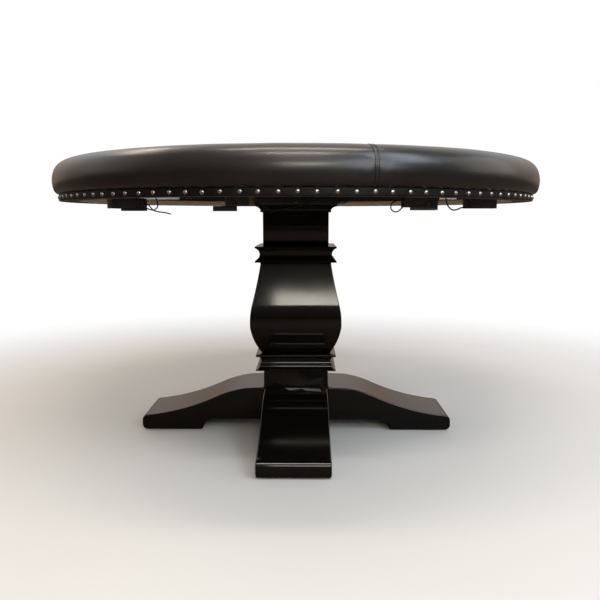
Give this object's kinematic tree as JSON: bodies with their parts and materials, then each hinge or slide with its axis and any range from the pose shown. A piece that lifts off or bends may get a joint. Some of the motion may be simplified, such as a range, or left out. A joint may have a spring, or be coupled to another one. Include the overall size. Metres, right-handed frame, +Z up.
{
  "type": "gaming table",
  "caption": "Round pedestal gaming table with a padded vinyl rail, nailed apron band, lift-out cloth playing surface and lighting modules under the deck.",
  "frame": {"origin": "on the floor under the middle of the table", "axes": "+Z up, -Y is the side with the lighting controller's button, +X to the right seen from that side"},
  "size_m": [1.3748, 1.375, 0.7872],
  "materials": {
    "rail_vinyl": "black upholstery vinyl, fine grain, satin",
    "band_vinyl": "black vinyl strip, satin",
    "upholstery_foam": "open-cell upholstery foam",
    "birch_ply": "raw plywood",
    "nickel": "bright nickel domed nails",
    "speed_cloth": "dark green speed cloth",
    "aluminium_profile": "anodised profile",
    "light_strip": "white light strip",
    "opal_diffuser": "opal diffuser, satin",
    "zinc_steel": "zinc plated",
    "black_steel": "black enamelled steel",
    "black_lacquer": "black lacquered hardwood, semi gloss",
    "felt_glide": "rubber glide",
    "case_plastic": "moulded black case",
    "terminal_plastic": "moulded black terminal",
    "bracket_steel": "bright sheet steel",
    "button_plastic": "moulded button",
    "circuit_board": "glass-epoxy board",
    "lead_jacket": "black lead jacket",
    "grommet_rubber": "rubber grommet"
  },
  "bodies": {
    "table": {"band_nails": "nickel", "band_wrap": "band_vinyl", "base_block": "black_lacquer", "base_moulding": "black_lacquer", "base_ring": "birch_ply", "bracket_screws": "zinc_steel", "button_bezel": "terminal_plastic", "capital_moulding": "black_lacquer", "centre_lead": "lead_jacket", "circuit_boards": "circuit_board", "clamp_plate": "black_steel", "cleat_screws": "zinc_steel", "controller_bracket": "bracket_steel", "controller_case": "case_plastic", "controller_lead": "lead_jacket", "controller_lid": "case_plastic", "floor_glides": "felt_glide", "foot_back": "black_lacquer", "foot_bolts": "zinc_steel", "foot_front": "black_lacquer", "foot_left": "black_lacquer", "foot_right": "black_lacquer", "lead_grommets": "grommet_rubber", "left_aerial": "lead_jacket", "left_driver_bracket": "bracket_steel", "left_driver_case": "case_plastic", "left_driver_lid": "case_plastic", "left_driver_terminal": "terminal_plastic", "left_lead": "lead_jacket", "light_bar_channels": "aluminium_profile", "light_bar_lenses": "opal_diffuser", "light_channel": "aluminium_profile", "light_diffuser": "opal_diffuser", "light_strip": "light_strip", "mounting_cleat": "birch_ply", "neck_moulding": "black_lacquer", "pedestal_column": "black_lacquer", "pedestal_top_plate": "black_steel", "port_brackets": "bracket_steel", "port_case": "case_plastic", "port_lid": "case_plastic", "power_socket": "terminal_plastic", "rail_core": "birch_ply", "rail_cover": "rail_vinyl", "rail_cushion": "upholstery_foam", "right_driver_case": "case_plastic", "right_driver_lid": "case_plastic", "right_driver_terminal": "terminal_plastic", "right_lead": "lead_jacket", "splice_connector": "terminal_plastic", "table_deck": "birch_ply", "tie_rod": "zinc_steel", "tie_rod_nuts": "zinc_steel", "top_mount_bolts": "zinc_steel", "urn_body": "black_lacquer", "well_ring": "birch_ply"},
    "playing_surface": {"playfield_board": "birch_ply", "playfield_pad": "upholstery_foam", "playfield_cloth": "speed_cloth"},
    "mode_button": {"mode_button": "button_plastic"}
  },
  "joints": [
    {"name": "playing_surface_lift", "type": "slide", "parent": "table", "child": "playing_surface", "axis": [0, 0, 1], "range_m": [0, 0.12]},
    {"name": "mode_button_press", "type": "slide", "parent": "table", "child": "mode_button", "axis": [0, 1, 0], "range_m": [0, 0.0015], "stiffness_N_per_m": 300}
  ]
}
